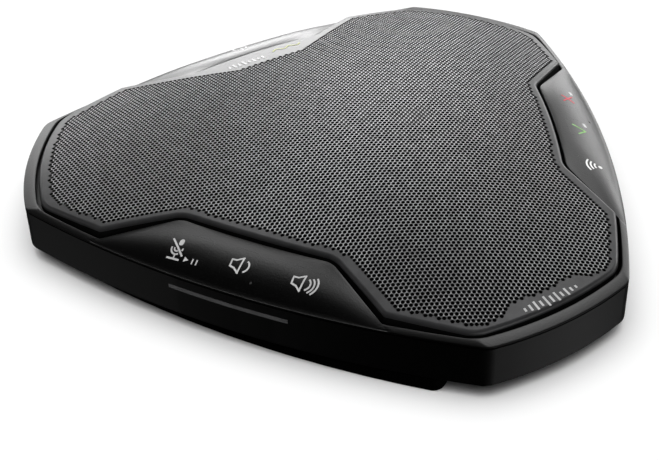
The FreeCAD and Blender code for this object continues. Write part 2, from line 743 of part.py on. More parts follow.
def make_dust_cap():
    radius = COIL_R - CAP_FREE
    ball_r = (radius ** 2 + CAP_SAG ** 2) / (2 * CAP_SAG)
    low = CONE_NECK_Z + CONE_SHEET
    middle = Vector(0, 0, low + CAP_SAG - ball_r)
    outer = Part.makeSphere(ball_r, middle)
    inner = Part.makeSphere(ball_r - CAP_SHEET, middle)
    return outer.cut(inner).common(disc(radius, low, ABOVE_ALL))


def make_voice_coil():
    return tube(COIL_R, COIL_R - COIL_SHEET, MAGNET_LOW + COIL_LOW, CONE_NECK_Z)


def make_speaker_surround():
    z = FLANGE_HIGH + ROLL_GLUE
    roll = Part.makeTorus(ROLL_MIDDLE_R, ROLL_R, Vector(0, 0, z), UP)
    roll = roll.cut(Part.makeTorus(ROLL_MIDDLE_R, ROLL_R - ROLL_SHEET, Vector(0, 0, z), UP))
    roll = roll.common(disc(FLANGE_R, z, ABOVE_ALL))
    wall = ROLL_R - ROLL_SHEET
    outer_lip = tube(ROLL_MIDDLE_R + wall + ROLL_LIP, ROLL_MIDDLE_R + wall, z, z + ROLL_SHEET)
    inner_lip = tube(ROLL_MIDDLE_R - wall, ROLL_MIDDLE_R - wall - ROLL_LIP, z, z + ROLL_SHEET)
    return fuse([roll, outer_lip, inner_lip])


def make_speaker_gasket():
    ring = tube(FLANGE_R, TURRET_INNER + GASKET_INSET, TURRET_Z, FLANGE_LOW)
    hole = disc(SPEAKER_HOLE_R, TURRET_Z - 1, FLANGE_LOW + 1, SPEAKER_SCREW_R, 0)
    for i in range(SPEAKER_SCREWS):
        ring = ring.cut(quarter_turned(hole, i))
    return ring


# ---- electronics ----
def drilled_board(k, r0, r1, half, corner):
    """Circuit board across lobe k, with its screw holes."""
    board = rounded_box(r0, r1, -half, half, MAIN_BOARD_Z, MAIN_BOARD_TOP, corner)
    for at, r, side in board_screw_places():
        if at == k:
            board = board.cut(disc(BOARD_HOLE_R, 0, ABOVE_ALL, r, side * POST_SIDE))
    return lobe(board, k)


def make_main_board():
    return drilled_board(REAR_LOBE, *MAIN_BOARD_PLAN)


def make_chips():
    chips = []
    for r, t, half in CHIPS:
        chip = box(r - half, r + half, t - half, t + half, MAIN_BOARD_TOP, MAIN_BOARD_TOP + CHIP_HEIGHT)
        chips.append(lobe(chip, REAR_LOBE))
    return Part.makeCompound(chips)


def make_shield_can():
    top = MAIN_BOARD_TOP + MAIN_SHIELD_HEIGHT
    return lobe(rounded_box(*MAIN_SHIELD_PLAN, MAIN_BOARD_TOP, top, SHIELD_ROUND), REAR_LOBE)


def make_usb_socket():
    outer = usb_window(0.0, USB_FACE_R - USB_LENGTH, USB_FACE_R)
    inner = usb_window(-USB_WALL, USB_FACE_R - USB_LENGTH + USB_BACK, USB_FACE_R + 1)
    return outer.cut(inner)


def make_usb_tongue():
    low = USB_LOW_Z + (USB_HEIGHT - USB_TONGUE_SHEET) / 2
    tongue = box(USB_FACE_R - USB_LENGTH + USB_BACK, USB_FACE_R - USB_TONGUE_INSET,
                 -USB_TONGUE_HALF, USB_TONGUE_HALF, low, low + USB_TONGUE_SHEET)
    return lobe(tongue, REAR_LOBE)


def make_battery_pack():
    pack = rounded_box(*BATTERY_PLAN, BATTERY_LOW_Z, BATTERY_HIGH_Z, BATTERY_ROUND)
    return lobe(pack, BATTERY_LOBE)


def make_battery_pad():
    r0, r1, t0, t1 = BATTERY_PLAN
    pad = box(r0 + PAD_INSET, r1 - PAD_INSET, t0 + PAD_INSET, t1 - PAD_INSET, CASE_FLOOR_Z, BATTERY_LOW_Z)
    return lobe(pad, BATTERY_LOBE)


def make_wireless_board():
    return drilled_board(WIRELESS_LOBE, *WIRELESS_BOARD_PLAN)


def make_wireless_shield():
    top = MAIN_BOARD_TOP + WIRELESS_SHIELD_HEIGHT
    return lobe(rounded_box(*WIRELESS_SHIELD_PLAN, MAIN_BOARD_TOP, top, SHIELD_ROUND), WIRELESS_LOBE)


# ---- fasteners and label ----
def make_case_screws():
    screws = []
    for k in range(SECTORS):
        for side in (-1, 1):
            one = screw(side * SCREW_X, SCREW_Y, CASE_SCREW_HEAD_Z, CASE_SCREW_SEAT_Z, CASE_SCREW_TIP)
            screws.append(panel(one, k))
    return Part.makeCompound(screws)


def make_deck_screws():
    screws = []
    for k in range(SECTORS):
        one = screw_down(0, -DECK_SCREW_R, DECK_TOP_Z + DECK_SCREW_HEAD, DECK_SCREW_HEAD,
                         DECK_Z - DECK_SCREW_DEEP, DECK_SCREW_SHANK, DECK_SCREW_HEAD_R)
        screws.append(panel(one, k))
    return Part.makeCompound(screws)


def make_board_screws():
    screws = []
    for k, r, side in board_screw_places():
        one = screw_down(r, side * POST_SIDE, MAIN_BOARD_TOP + BOARD_SCREW_HEAD, BOARD_SCREW_HEAD,
                         BOARD_SCREW_TIP, BOARD_SCREW_R, BOARD_SCREW_HEAD_R)
        screws.append(lobe(one, k))
    return Part.makeCompound(screws)


def make_speaker_screws():
    one = screw_down(SPEAKER_SCREW_R, 0, FLANGE_HIGH + SPEAKER_SCREW_HEAD, SPEAKER_SCREW_HEAD,
                     TURRET_Z - SPEAKER_SCREW_DEEP, SPEAKER_SCREW_SHANK, SPEAKER_SCREW_HEAD_R)
    return Part.makeCompound([quarter_turned(one, i) for i in range(SPEAKER_SCREWS)])


def make_rating_label():
    return disc(LABEL_R, FOOT_HEIGHT - LABEL_SHEET, FOOT_HEIGHT)


def main():
    os.makedirs("parts", exist_ok=True)
    save("base_housing", make_base_housing())
    save("bezel", make_bezel())
    save("speaker_deck", make_speaker_deck())
    save("speaker_grille", make_speaker_grille())
    save("acoustic_cloth", make_acoustic_cloth())
    for name, k, middle, half in KEYS:
        save(name, make_key(k, middle, half))
    foot = make_foot()
    for k, where in enumerate(PANEL_NAMES):
        save("foot_" + where, panel(foot, k))
        save("key_board_" + where, make_key_board(k))
        save("dome_switches_" + where, make_dome_switches(k))
        save("microphone_" + where, make_microphone(k))
        save("light_bar_" + where, make_light_bar(k))
        save("led_board_" + where, make_led_board(k))
    save("speaker_basket", make_speaker_basket())
    save("speaker_magnet", make_speaker_magnet())
    save("speaker_cone", make_speaker_cone())
    save("dust_cap", make_dust_cap())
    save("voice_coil", make_voice_coil())
    save("speaker_surround", make_speaker_surround())
    save("speaker_gasket", make_speaker_gasket())
    save("main_board", make_main_board())
    save("chips", make_chips())
    save("shield_can", make_shield_can())
    save("usb_socket", make_usb_socket())
    save("usb_tongue", make_usb_tongue())
    save("battery_pack", make_battery_pack())
    save("battery_pad", make_battery_pad())
    save("wireless_board", make_wireless_board())
    save("wireless_shield", make_wireless_shield())
    save("case_screws", make_case_screws())
    save("deck_screws", make_deck_screws())
    save("board_screws", make_board_screws())
    save("speaker_screws", make_speaker_screws())
    save("rating_label", make_rating_label())


main()
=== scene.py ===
import math

import bmesh
import bpy
import numpy as np
from mathutils import Matrix, Vector
from mathutils.geometry import delaunay_2d_cdt


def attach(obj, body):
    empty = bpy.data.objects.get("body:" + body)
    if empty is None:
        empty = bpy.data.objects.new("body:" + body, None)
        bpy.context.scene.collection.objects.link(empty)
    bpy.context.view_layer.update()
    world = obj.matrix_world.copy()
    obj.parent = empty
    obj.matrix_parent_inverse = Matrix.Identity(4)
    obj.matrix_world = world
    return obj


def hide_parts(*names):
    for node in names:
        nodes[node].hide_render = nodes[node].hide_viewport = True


# Conference speakerphone. Sizes are in millimetres, as in the CAD, and MM turns them to metres.
MM = 0.001
SECTORS = 3
SECTOR_TURN = 360.0 / SECTORS
LOBE_AXIS = -30.0

BODY_RADIUS = 75.5
SIDE_REACH = 58.8
SIDE_RADIUS = 232.0
SIDE_CENTRE_Y = SIDE_RADIUS - SIDE_REACH
CORNER_ROUND = 5.0
PARTING_Z = 12.8
DECK_TOP_Z = 12.3

PANEL_TOP_Z = 17.7
PANEL_DEPTH = 12.1
PANEL_INNER_HALF = 17.9
PANEL_OUTER_HALF = 33.6
PANEL_OUTER_REACH = 55.1
PANEL_INNER_REACH = 46.05
CROWN_RISE = PANEL_TOP_Z - PARTING_Z
CROWN_RADIUS = (PANEL_DEPTH ** 2 + CROWN_RISE ** 2) / (2 * CROWN_RISE)
PANEL_END_BLEND = 9.0
RIM_Z = 13.65
RIM_SIDE = 1.6
RIM_END = 2.8
RIM_FOOT = 0.25
RIM_BOW = 1.4               # 1 is a straight slope from the outline up to the lip
LIP_ROUND = 0.35
BEZEL_SHADE_ROWS = 5         # rows at the foot of the bezel's skin that take the base's darker, less glossy plastic: painted shade along the parting line and under the lip
# lower rows of the lip's rounding that take the same dark plastic: painted shade in the gap round the
# grille
LIP_SHADE_ROWS = 3
OPENING_ROUND = 8.0
NOTCH_ROUND_INNER = 5.0
NOTCH_ROUND_OUTER = 1.5
BEND_POINTS = 14            # a rounded joint is a Bezier curve of this many points
BEND_HANDLE = 0.45          # share of each side, from the joint, at which its handles lie

DOME_Z = 23.05              # the perforated skin lies just under the solid's top
DOME_UNIT = 50.0
DOME_SAG = 4.56
DOME_QUARTIC = 0.12
DOME_LOBE_LIFT = 0.51
GRILLE_GAP = 0.7
GRILLE_ROLL = 0.8           # the grille's edge is rolled down by this
GRILLE_SKIRT_SHOWN = 3.0

HOLE_PITCH = 1.02
HOLE_R = 0.435
HOLE_SIDES = 8
HOLE_ROLL = 0.05            # each punched edge is rolled down by this
HOLE_BORDER = 1.5           # grille edge to the nearest hole cell
HOLE_FIELD_SHIFT = (0.5, -0.35)    # the punched field isn't quite central on the grille
SHEET_SHOWN = 0.5
# plain fields for printed marks: full depth over a flat stretch, then tapering to each side
ZONE_SLOPE = 0.55
LOBE_ZONE_DEPTH = 7.6
LOBE_ZONE_FLAT = 7.8
LOBE_ZONE_HALF = 16.0
REAR_ZONE_REACH = 37.3
REAR_ZONE_FLAT = 8.5
REAR_ZONE_HALF = 20.0
REAR_ZONE_RADIUS = 50.0

KEY_Y_OUTER = -56.4
KEY_Y_INNER = -49.6
KEY_ROUND = 1.2
KEYS = (
    ("key_mute", 0, -12.4, 5.3),
    ("key_volume_down", 0, 0.3, 3.3),
    ("key_volume_up", 0, 15.2, 4.2),
    ("key_end_call", 1, 13.6, 4.6),
    ("key_answer", 1, -0.9, 3.8),
    ("key_wireless", 1, -16.2, 3.8),
    ("key_power", 2, 0.3, 3.3),
)
MIC_HOLE_X = 4.5
MIC_HOLE_Y = -56.0
MIC_HOLE_R = 0.3
MIC_SCREEN_DROP = 0.12
KEY_BOTTOM_Z = 14.0
KEY_SEAM = 0.01             # seam round each key cap
ABOVE_ALL = 30.0
EDGE_ROUND = 0.2
PRINT_LIFT = 0.03           # printed marks lie this far above their surface

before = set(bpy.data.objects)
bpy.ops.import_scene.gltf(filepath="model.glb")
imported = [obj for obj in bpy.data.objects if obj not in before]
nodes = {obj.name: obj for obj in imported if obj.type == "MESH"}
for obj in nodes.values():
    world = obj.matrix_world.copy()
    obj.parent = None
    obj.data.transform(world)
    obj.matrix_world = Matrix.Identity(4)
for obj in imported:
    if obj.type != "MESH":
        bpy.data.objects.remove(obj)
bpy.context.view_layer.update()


# ---- plan curves ----
def turn(points, degrees):
    a = math.radians(degrees)
    c, s = math.cos(a), math.sin(a)
    points = np.asarray(points, float)
    return np.stack([c * points[:, 0] - s * points[:, 1], s * points[:, 0] + c * points[:, 1]], 1)


def arc(cx, cy, radius, a0, a1, step=0.5):
    n = max(2, int(abs(a1 - a0) * radius / step) + 1)
    a = np.linspace(a0, a1, n)
    return np.stack([cx + radius * np.cos(a), cy + radius * np.sin(a)], 1)


def line(p, q, step=0.5):
    p, q = np.asarray(p, float), np.asarray(q, float)
    n = max(2, int(np.hypot(*(q - p)) / step) + 1)
    t = np.linspace(0, 1, n)[:, None]
    return p + (q - p) * t


def side_arc(inset, x0, x1):
    """Long front side between two x, moved inwards."""
    r = SIDE_RADIUS - inset
    return arc(0, SIDE_CENTRE_Y, r, -math.pi / 2 + math.asin(x0 / r), -math.pi / 2 + math.asin(x1 / r))


def corner_xy(side_inset, end_inset):
    end_r = BODY_RADIUS - end_inset
    side_r = SIDE_RADIUS - side_inset
    y = (end_r ** 2 - side_r ** 2 + SIDE_CENTRE_Y ** 2) / (2 * SIDE_CENTRE_Y)
    return math.sqrt(end_r ** 2 - y ** 2), y


def end_arc(side_inset, end_inset):
    """Rounded end of the first lobe, from the front corner round to the next side's corner."""
    x, y = corner_xy(side_inset, end_inset)
    a0 = math.atan2(y, x)
    a1 = 2 * math.radians(LOBE_AXIS) - a0
    return arc(0, 0, BODY_RADIUS - end_inset, a0, a1)


def trim(path, length):
    """path without its first stretch of that length."""
    run = np.concatenate([[0], np.cumsum(np.hypot(*np.diff(path, axis=0).T))])
    keep = run > length
    start = [np.interp(length, run, path[:, 0]), np.interp(length, run, path[:, 1])]
    return np.vstack([[start], path[keep]])


def round_joints(paths, radii):
    """Closed loop from paths end to end, with joint i, at the end of path i, rounded."""
    count = len(paths)
    trims = []
    for i in range(count):
        a = paths[i]
        b = paths[(i + 1) % count]
        u = a[-1] - a[-2]
        v = b[1] - b[0]
        turn_angle = math.acos(np.clip(u @ v / np.hypot(*u) / np.hypot(*v), -1, 1))
        trims.append(radii[i] * math.tan(turn_angle / 2))
    cut = []
    for i in range(count):
        path = trim(paths[i], trims[i - 1])
        cut.append(trim(path[::-1], trims[i])[::-1])
    loop = []
    for i in range(count):
        a = cut[i]
        b = cut[(i + 1) % count]
        corner = paths[i][-1]
        loop.append(a[:-1])
        t = np.linspace(0, 1, BEND_POINTS)[:-1, None]
        h0 = corner + (a[-1] - corner) * BEND_HANDLE
        h1 = corner + (b[0] - corner) * BEND_HANDLE
        start = (1 - t) ** 3 * a[-1] + 3 * (1 - t) ** 2 * t * h0
        loop.append(start + 3 * (1 - t) * t * t * h1 + t ** 3 * b[0])
    return np.vstack(loop)


def outline_loop():
    x, _ = corner_xy(0, 0)
    paths = []
    for k in range(SECTORS):
        paths.append(turn(side_arc(0, -x, x), SECTOR_TURN * k))
        paths.append(turn(end_arc(0, 0), SECTOR_TURN * k))
    return round_joints(paths, [CORNER_ROUND] * len(paths))


def panel_slope():
    run = PANEL_OUTER_HALF - PANEL_INNER_HALF
    rise = PANEL_OUTER_REACH - PANEL_INNER_REACH
    return run / rise


def panel_corner(depth):
    """Right-hand edge of the front panel at a depth in from the long side."""
    r = SIDE_RADIUS - depth
    x = PANEL_INNER_HALF
    for _ in range(20):
        reach = math.sqrt(r * r - x * x) - SIDE_CENTRE_Y
        x = PANEL_INNER_HALF + panel_slope() * (reach - PANEL_INNER_REACH)
    return x, -reach


def opening_loop():
    """The grille opening: lobes, with a notch for each panel."""
    cx, _ = corner_xy(RIM_SIDE, RIM_END)
    ax, ay = panel_corner(RIM_SIDE)
    bx, by = panel_corner(PANEL_DEPTH)
    paths = []
    radii = []
    for k in range(SECTORS):
        part = [
            side_arc(RIM_SIDE, -cx, -ax),
            line((-ax, ay), (-bx, by)),
            side_arc(PANEL_DEPTH, -bx, bx),
            line((bx, by), (ax, ay)),
            side_arc(RIM_SIDE, ax, cx),
            end_arc(RIM_SIDE, RIM_END),
        ]
        paths += [turn(p, SECTOR_TURN * k) for p in part]
        radii += [NOTCH_ROUND_OUTER, NOTCH_ROUND_INNER, NOTCH_ROUND_INNER, NOTCH_ROUND_OUTER,
                  OPENING_ROUND, OPENING_ROUND]
    return round_joints(paths, radii)


def tidy_loop(loop, step):
    """The same closed loop with evenly spaced points."""
    closed = np.vstack([loop, loop[:1]])
    gaps = np.hypot(*np.diff(closed, axis=0).T)
    keep = np.concatenate([[True], gaps > 1e-6])
    closed = closed[keep]
    run = np.concatenate([[0], np.cumsum(np.hypot(*np.diff(closed, axis=0).T))])
    n = int(run[-1] / step)
    at = np.arange(n) * run[-1] / n
    return np.stack([np.interp(at, run, closed[:, 0]), np.interp(at, run, closed[:, 1])], 1)


def inward(loop):
    """Unit vectors pointing into a counter-clockwise loop."""
    tangent = np.roll(loop, -1, 0) - np.roll(loop, 1, 0)
    tangent /= np.hypot(*tangent.T)[:, None]
    return np.stack([-tangent[:, 1], tangent[:, 0]], 1)


def radius_at(loop, angles):
    """Distance of a star-shaped loop from the axis at some angles."""
    a = np.arctan2(loop[:, 1], loop[:, 0])
    order = np.argsort(a)
    a = a[order]
    r = np.hypot(*loop.T)[order]
    a = np.concatenate([a[-1:] - 2 * math.pi, a, a[:1] + 2 * math.pi])
    r = np.concatenate([r[-1:], r, r[:1]])
    return np.interp(angles, a, r)


def distance_to(loop, points):
    """Distance from each point to a closed loop."""
    p = loop
    d = np.roll(loop, -1, 0) - loop
    length2 = (d ** 2).sum(1)
    out = np.empty(len(points))
    for i in range(0, len(points), 2000):
        q = points[i:i + 2000, None, :] - p[None]
        t = np.clip((q * d).sum(2) / length2, 0, 1)
        out[i:i + 2000] = np.sqrt(((q - t[..., None] * d) ** 2).sum(2).min(1))
    return out


# ---- surfaces ----
def dome(x, y):
    r2 = (x * x + y * y) / DOME_UNIT ** 2
    lift = (y ** 3 - 3 * x * x * y) / DOME_UNIT ** 3
    return DOME_Z - DOME_SAG * r2 - DOME_QUARTIC * r2 * r2 + DOME_LOBE_LIFT * lift


def panel_frame(x, y):
    """Coordinates in the frame of the nearest panel, which faces -Y there."""
    k = np.round((np.degrees(np.arctan2(y, x)) + 90) / SECTOR_TURN)
    a = -np.radians(SECTOR_TURN * k)
    return np.cos(a) * x - np.sin(a) * y, np.sin(a) * x + np.cos(a) * y


def panel_height(x, depth):
    """Crown of the front panel, which sinks to the straight edges at its two ends."""
    lean = np.clip(PANEL_DEPTH - depth, 0, PANEL_DEPTH)
    crown = PANEL_TOP_Z - CROWN_RADIUS + np.sqrt(CROWN_RADIUS ** 2 - lean ** 2)
    end_z = RIM_Z + (PANEL_TOP_Z - RIM_Z) * (depth - RIM_SIDE) / (PANEL_DEPTH - RIM_SIDE)
    share = np.clip(1 - inside_panel(x, depth) / PANEL_END_BLEND, 0, 1)
    return crown - np.maximum(crown - end_z, 0) * share ** 2


def inside_panel(x, depth):
    """Plan distance from the nearer end edge of the front panel; negative beyond it."""
    reach = np.sqrt((SIDE_RADIUS - depth) ** 2 - x ** 2) - SIDE_CENTRE_Y
    end_x = PANEL_INNER_HALF + panel_slope() * (reach - PANEL_INNER_REACH)
    return (end_x - np.abs(x)) / math.hypot(1, panel_slope())


def bezel_height(x, y):
    px, py = panel_frame(x, y)
    depth = SIDE_RADIUS - np.hypot(px, py - SIDE_CENTRE_Y)
    end_depth = BODY_RADIUS - np.hypot(x, y)
    in_rim = np.clip(np.minimum(depth / RIM_SIDE, end_depth / RIM_END), 0, 1)
    low = PARTING_Z + RIM_FOOT
    rim = low + (RIM_Z - low) * (1 - (1 - in_rim) ** RIM_BOW)
    z = np.where(inside_panel(px, depth) > 0, panel_height(px, depth), rim)
    return np.maximum(z, low)


# ---- mesh helpers ----
def make_piece(name, points_mm, faces, material, sharp=35.0):
    mesh = bpy.data.meshes.new(name)
    mesh.from_pydata([tuple(float(c) * MM for c in p) for p in points_mm], [], faces)
    mesh.validate()
    mesh.shade_smooth()
    mesh.set_sharp_from_angle(angle=math.radians(sharp))
    mesh.materials.append(material)
    obj = bpy.data.objects.new(name, mesh)
    bpy.context.scene.collection.objects.link(obj)
    return obj


def loft(rows, closed_rows=False):
    """Faces between rows of equal length; every row is a closed loop."""
    n = len(rows[0])
    faces = []
    last = len(rows) if closed_rows else len(rows) - 1
    for r in range(last):
        a0 = r * n
        b0 = ((r + 1) % len(rows)) * n
        for i in range(n):
            j = (i + 1) % n
            faces.append((a0 + i, a0 + j, b0 + j, b0 + i))
    return faces


# ---- materials ----
GRAIN_DEPTH = 0.00003       # metres
MOTTLE_SCALE = 400
MOTTLE_DARK = 0.85
MOTTLE_PALE = 1.1


def new_material(name, color, roughness, metallic, specular):
    mat = bpy.data.materials.new(name)
    mat.use_nodes = True
    shader = mat.node_tree.nodes["Principled BSDF"]
    shader.inputs["Base Color"].default_value = (*color, 1)
    shader.inputs["Roughness"].default_value = roughness
    shader.inputs["Metallic"].default_value = metallic
    shader.inputs["Specular IOR Level"].default_value = specular
    return mat


def add_grain(mat, scale, strength):
    """Fine moulded or sprayed grain as a bump."""
    tree = mat.node_tree
    shader = tree.nodes["Principled BSDF"]
    coords = tree.nodes.new("ShaderNodeTexCoord")
    noise = tree.nodes.new("ShaderNodeTexNoise")
    noise.inputs["Scale"].default_value = scale
    noise.inputs["Detail"].default_value = 3
    bump = tree.nodes.new("ShaderNodeBump")
    bump.inputs["Strength"].default_value = strength
    bump.inputs["Distance"].default_value = GRAIN_DEPTH
    tree.links.new(coords.outputs["Object"], noise.inputs["Vector"])
    tree.links.new(noise.outputs["Fac"], bump.inputs["Height"])
    tree.links.new(bump.outputs["Normal"], shader.inputs["Normal"])


def add_mottle(mat, scale, low, high):
    """Slight cloudiness of the colour between two shades."""
    tree = mat.node_tree
    shader = tree.nodes["Principled BSDF"]
    coords = tree.nodes.new("ShaderNodeTexCoord")
    noise = tree.nodes.new("ShaderNodeTexNoise")
    noise.inputs["Scale"].default_value = scale
    noise.inputs["Detail"].default_value = 4
    ramp = tree.nodes.new("ShaderNodeValToRGB")
    ramp.color_ramp.elements[0].position = 0.35
    ramp.color_ramp.elements[0].color = (*low, 1)
    ramp.color_ramp.elements[1].position = 0.65
    ramp.color_ramp.elements[1].color = (*high, 1)
    tree.links.new(coords.outputs["Object"], noise.inputs["Vector"])
    tree.links.new(noise.outputs["Fac"], ramp.inputs["Fac"])
    tree.links.new(ramp.outputs["Color"], shader.inputs["Base Color"])


def plain(name, color, roughness, metallic=0.0, specular=0.5, grain=3000, strength=0.2):
    mat = new_material(name, color, roughness, metallic, specular)
    add_grain(mat, grain, strength)
    add_mottle(mat, MOTTLE_SCALE, [MOTTLE_DARK * c for c in color], [MOTTLE_PALE * c for c in color])
    return mat


grille_paint = plain("grille_paint", (0.03, 0.03, 0.031), 0.36, 0.4, 0.5, 5000, 0.25)
# brighter, more metallic copy of the grille paint for the webs between holes: a painted sheen on what is
# one painted sheet
grille_web_painted_sheen = plain("grille_web_painted_sheen", (0.29, 0.29, 0.295), 0.28, 0.9, 0.5, 5000, 0.03)
# near-black stand-in for painted shade: it goes on the hole walls and the grille's skirt, which are
# really the grille's own paint lying in shade
painted_shade_black = plain("painted_shade_black", (0.003, 0.003, 0.003), 0.7, 0.0, 0.1, 5000, 0.2)
bezel_plastic = plain("bezel_plastic", (0.0008, 0.0008, 0.0008), 0.33, 0.0, 0.5, 3000, 0.9)
base_plastic = plain("base_plastic", (0.0003, 0.0003, 0.0003), 0.5, 0.0, 0.25, 3000, 0.25)
cloth_black = plain("cloth_black", (0.002, 0.002, 0.002), 0.95, 0.0, 0.05, 2500, 0.6)
rubber_black = plain("rubber_black", (0.0005, 0.0005, 0.0005), 0.75, 0.0, 0.02, 2500, 0.4)
light_smoke = plain("light_smoke", (0.055, 0.055, 0.056), 0.3, 0.0, 0.1, 2500, 0.1)
ink_pale = plain("ink_pale", (0.42, 0.42, 0.42), 0.6, 0.0, 0.2, 6000, 0.1)
ink_white = plain("ink_white", (0.85, 0.85, 0.85), 0.6, 0.0, 0.2, 6000, 0.1)
ink_red = plain("ink_red", (0.72, 0.1, 0.13), 0.6, 0.0, 0.2, 6000, 0.1)
ink_green = plain("ink_green", (0.32, 0.6, 0.22), 0.6, 0.0, 0.2, 6000, 0.1)
ink_lime = plain("ink_lime", (0.75, 0.78, 0.35), 0.6, 0.0, 0.2, 6000, 0.1)
mic_grey = plain("mic_grey", (0.03, 0.03, 0.03), 0.7, 0.0, 0.2, 6000, 0.2)
deck_black = plain("deck_black", (0.01, 0.01, 0.01), 0.6)
board_green = plain("board_green", (0.01, 0.09, 0.04), 0.4, 0.0, 0.5, 900, 0.1)
tin = plain("tin", (0.62, 0.62, 0.63), 0.3, 1.0, 0.5, 1800, 0.2)
gold_metal = plain("gold_metal", (0.7, 0.55, 0.25), 0.3, 1.0)
chip_black = plain("chip_black", (0.015, 0.015, 0.015), 0.5)
magnet_metal = plain("magnet_metal", (0.25, 0.25, 0.26), 0.35, 0.9)
paper_black = plain("paper_black", (0.02, 0.02, 0.02), 0.9, 0.0, 0.2, 1500, 0.6)
copper = plain("copper", (0.6, 0.25, 0.1), 0.3, 1.0)
wrap_grey = plain("wrap_grey", (0.14, 0.17, 0.22), 0.3)
screw_black = plain("screw_black", (0.08, 0.08, 0.08), 0.4, 0.9)
label_white = plain("label_white", (0.55, 0.55, 0.55), 0.7)
foam = plain("foam", (0.03, 0.03, 0.03), 0.95, 0.0, 0.1, 1200, 0.8)

NODE_LOOKS = {
    "base_housing": base_plastic,
    "bezel": bezel_plastic,
    "speaker_grille": grille_paint,
    "acoustic_cloth": cloth_black,
    "speaker_deck": deck_black,
    "foot": rubber_black,
    "light_bar": light_smoke,
    "led_board": board_green,
    "key_board": board_green,
    "key": bezel_plastic,
    "dome_switches": tin,
    "microphone": gold_metal,
    "speaker_basket": deck_black,
    "speaker_magnet": magnet_metal,
    "speaker_cone": paper_black,
    "dust_cap": paper_black,
    "voice_coil": copper,
    "speaker_surround": rubber_black,
    "speaker_gasket": foam,
    "main_board": board_green,
    "chips": chip_black,
    "shield_can": tin,
    "usb_socket": tin,
    "usb_tongue": chip_black,
    "battery_pack": wrap_grey,
    "battery_pad": foam,
    "wireless_board": board_green,
    "wireless_shield": tin,
    "case_screws": screw_black,
    "deck_screws": screw_black,
    "board_screws": screw_black,
    "speaker_screws": screw_black,
    "rating_label": label_white,
}


def dress_nodes():
    for name, obj in nodes.items():
        prefixes = [p for p in NODE_LOOKS if name.startswith(p)]
        look = NODE_LOOKS[max(prefixes, key=len)]
        obj.data.materials.clear()
        obj.data.materials.append(look)


# ---- bezel and key caps ----
def prism(ring, z0, z1):
    n = len(ring)
    points = [(x, y, z0) for x, y in ring] + [(x, y, z1) for x, y in ring]
    faces = loft([range(n), range(n)])
    faces += [tuple(range(n))[::-1], tuple(range(n, 2 * n))]
    return points, faces


def key_prism(k, middle, half, grow, z0):
    """Upright prism over one key's footprint."""
    x0, x1 = middle - half - grow, middle + half + grow
    y0, y1 = KEY_Y_OUTER - grow, KEY_Y_INNER + grow
    r = KEY_ROUND + grow
    quarter = math.pi / 2
    ring = np.vstack([
        arc(x1 - r, y0 + r, r, -quarter, 0, 0.3),
        arc(x1 - r, y1 - r, r, 0, quarter, 0.3),
        arc(x0 + r, y1 - r, r, quarter, 2 * quarter, 0.3),
        arc(x0 + r, y0 + r, r, 2 * quarter, 3 * quarter, 0.3),
    ])
    return prism(turn(ring, SECTOR_TURN * k), z0, ABOVE_ALL)


def bezel_rows():
    """Rows of the bezel's skin, from the foot of the lip over the top and back underneath."""
    lip = tidy_loop(opening_loop(), 0.35)
    angles = np.arctan2(lip[:, 1], lip[:, 0])
    outer = radius_at(tidy_loop(outline_loop(), 0.2), angles)
    inner = np.hypot(*lip.T)
    ray = lip / inner[:, None]
    span = outer - inner
    rows = []

    def row(distance, drop):
        """A row at a distance out from the lip, lowered by drop."""
        xy = ray * (inner + distance)[:, None]
        z = bezel_height(xy[:, 0], xy[:, 1]) - drop
        rows.append(np.column_stack([xy, z]))

    quarter = np.linspace(0, math.pi / 2, 5)
    for a in quarter:
        row(LIP_ROUND * (1 - math.cos(a)), LIP_ROUND * (1 - math.sin(a)))
    steps = 14
    for i in range(1, steps):
        row(LIP_ROUND + (span - LIP_ROUND - EDGE_ROUND) * i / steps, 0.0)
    for a in quarter:
        row(span - EDGE_ROUND * (1 - math.sin(a)), EDGE_ROUND * (1 - math.cos(a)) * 0.5)
    bottom = rows[-1].copy()
    bottom[:, 2] = PARTING_Z
    rows.append(bottom)
    under = bottom.copy()
    under[:, :2] = rows[0][:, :2]
    rows.append(under)
    return rows


def cut_with(piece, solids, operation):
    """Boolean of a piece with a set of separate solids."""
    points, faces = joined(solids)
    cutter = make_piece("cutter", points, faces, bezel_plastic)
    cut = piece.modifiers.new("cut", "BOOLEAN")
    cut.operation = operation
    cut.solver = "EXACT"
    cut.object = cutter
    graph = bpy.context.evaluated_depsgraph_get()
    mesh = bpy.data.meshes.new_from_object(piece.evaluated_get(graph))
    piece.modifiers.clear()
    piece.data = mesh
    mesh.shade_smooth()
    mesh.set_sharp_from_angle(angle=math.radians(40))
    bpy.data.objects.remove(cutter)


def joined(shapes):
    """One list of points and one of faces from several (points, faces) pairs."""
    points, faces = [], []
    for p, f in shapes:
        faces += [tuple(int(i) + len(points) for i in face) for face in f]
        points += [tuple(v) for v in p]
    return points, faces


